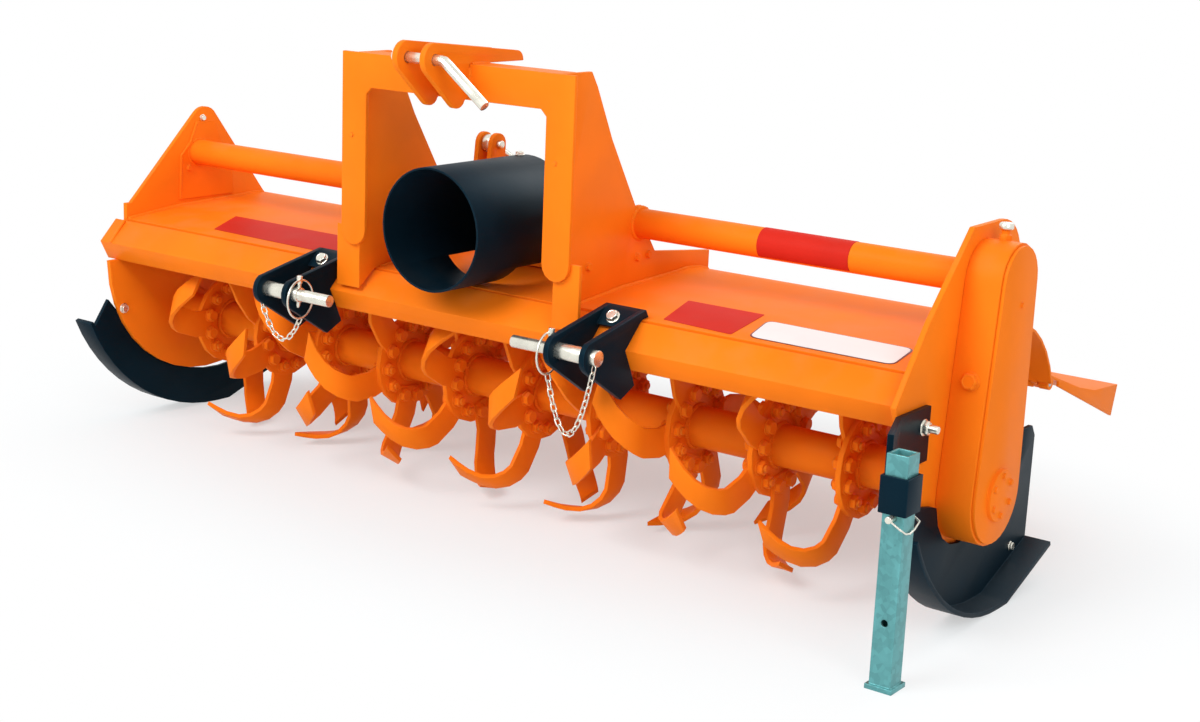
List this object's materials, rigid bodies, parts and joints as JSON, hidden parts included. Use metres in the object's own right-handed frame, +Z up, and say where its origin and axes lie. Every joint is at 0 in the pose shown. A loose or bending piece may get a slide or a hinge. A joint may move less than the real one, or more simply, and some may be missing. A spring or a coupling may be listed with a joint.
{
  "type": "rotary tiller",
  "caption": "Three-point-hitch rotary tiller with a bladed rotor under an orange hood, a side drive case, a PTO guard, curved skids, a raised tailboard and a parking stand.",
  "frame": {"origin": "on the ground, under the middle of the whole machine's box", "axes": "+Z up; +X along the width, from the plain end towards the side drive; -Y forward, towards the tractor"},
  "size_m": [1.9958, 1.1174, 0.8909],
  "materials": {
    "orange_paint": "semi-gloss orange enamel",
    "black_paint": "semi-gloss black enamel",
    "zinc_plate": "yellowish zinc plating",
    "galvanised": "hot-dip galvanised steel",
    "bare_steel": "bare machined steel"
  },
  "bodies": {
    "frame": {"end_plate_left": "orange_paint", "end_plate_right": "orange_paint", "drive_case": "orange_paint", "drive_case_cover": "orange_paint", "rotor_bearing_left": "orange_paint", "front_beam": "orange_paint", "hood": "orange_paint", "cross_tube_left": "orange_paint", "cross_tube_right": "orange_paint", "hitch_portal": "orange_paint", "tower_wall_left": "orange_paint", "tower_wall_right": "orange_paint", "top_link_ear_left": "orange_paint", "top_link_ear_right": "orange_paint", "gearbox": "orange_paint", "adjuster_lug_left": "orange_paint", "adjuster_lug_right": "orange_paint", "pto_guard": "black_paint", "lower_bracket_left": "black_paint", "lower_bracket_right": "black_paint", "skid_left": "black_paint", "skid_right": "black_paint", "stand_bracket": "black_paint", "top_link_pin": "zinc_plate", "lower_pin_left": "zinc_plate", "lower_pin_right": "zinc_plate", "adjuster_pin": "zinc_plate", "hinge_rod": "bare_steel"},
    "rotor": {"rotor_tube": "orange_paint", "rotor_flange_01": "orange_paint", "rotor_flange_02": "orange_paint", "rotor_flange_03": "orange_paint", "rotor_flange_04": "orange_paint", "rotor_flange_05": "orange_paint", "rotor_flange_06": "orange_paint", "rotor_flange_07": "orange_paint", "rotor_flange_08": "orange_paint", "rotor_flange_09": "orange_paint", "rotor_flange_10": "orange_paint"},
    "input_shaft": {"input_shaft": "bare_steel"},
    "tailboard": {"tailboard": "orange_paint", "board_clevis_left": "orange_paint", "board_clevis_right": "orange_paint", "board_pin": "zinc_plate"},
    "adjuster": {"adjuster_rod": "zinc_plate"},
    "stand": {"stand_leg": "galvanised", "stand_pin": "zinc_plate"}
  },
  "joints": [
    {"name": "rotor_spin", "type": "hinge", "parent": "frame", "child": "rotor", "pos_m": [-0.0196, -0.17725, 0.2235], "axis": [1, 0, 0], "continuous": true},
    {"name": "input_spin", "type": "hinge", "parent": "frame", "child": "input_shaft", "pos_m": [0.0004, -0.25525, 0.561], "axis": [0, -1, 0], "continuous": true},
    {"name": "tailboard_hinge", "type": "hinge", "parent": "frame", "child": "tailboard", "pos_m": [-0.0196, 0.21875, 0.322], "axis": [1, 0, 0], "range_deg": [-35, 6]},
    {"name": "adjuster_swing", "type": "hinge", "parent": "frame", "child": "adjuster", "pos_m": [-0.1266, -0.15325, 0.676], "axis": [1, 0, 0], "range_deg": [-10.8, 1.9]},
    {"name": "stand_slide", "type": "slide", "parent": "frame", "child": "stand", "axis": [0, 0, 1], "range_m": [-0.05, 0]}
  ],
  "couplings": [
    {"joint": "input_spin", "follows": "rotor_spin", "ratio": 2.45},
    {"joint": "adjuster_swing", "follows": "tailboard_hinge", "ratio": 0.306}
  ]
}
